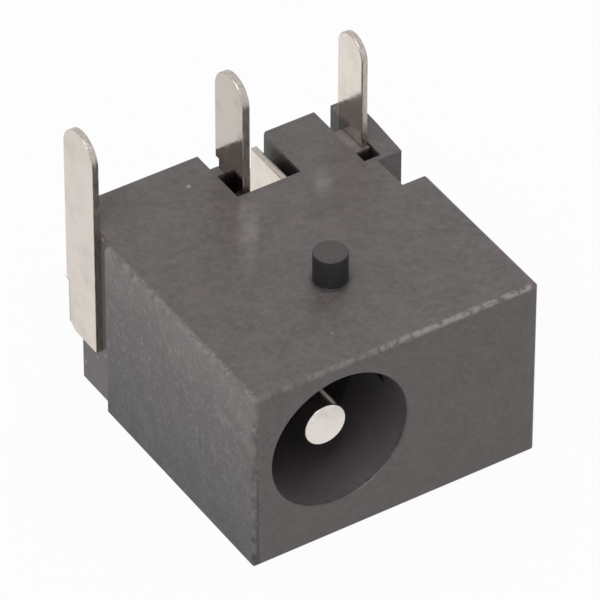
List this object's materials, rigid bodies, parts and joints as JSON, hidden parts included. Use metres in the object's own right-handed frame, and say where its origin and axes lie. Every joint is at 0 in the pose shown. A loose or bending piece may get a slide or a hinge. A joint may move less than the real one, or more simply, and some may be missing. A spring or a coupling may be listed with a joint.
{
  "type": "dc barrel jack",
  "caption": "Board-mount barrel power jack: black box housing with an off-centre round socket around a centre pin, a locating peg and upright solder tabs.",
  "frame": {"origin": "centre of the socket's mouth, on the front face of the housing", "axes": "+Y runs into the socket along its axis, +Z points to the board side where the peg and the solder tabs stand, +X points right as seen from the front"},
  "size_m": [0.0141, 0.0152, 0.0143],
  "materials": {
    "housing_plastic": "moulded, matt black with a fine grain",
    "pin_metal": "turned and nickel plated",
    "contact_metal": "stamped sheet, bright tin plate"
  },
  "bodies": {
    "root": {"housing": "housing_plastic", "centre_pin": "pin_metal", "pin_terminal": "contact_metal", "sleeve_contact": "contact_metal", "switch_contact": "contact_metal"}
  },
  "joints": []
}
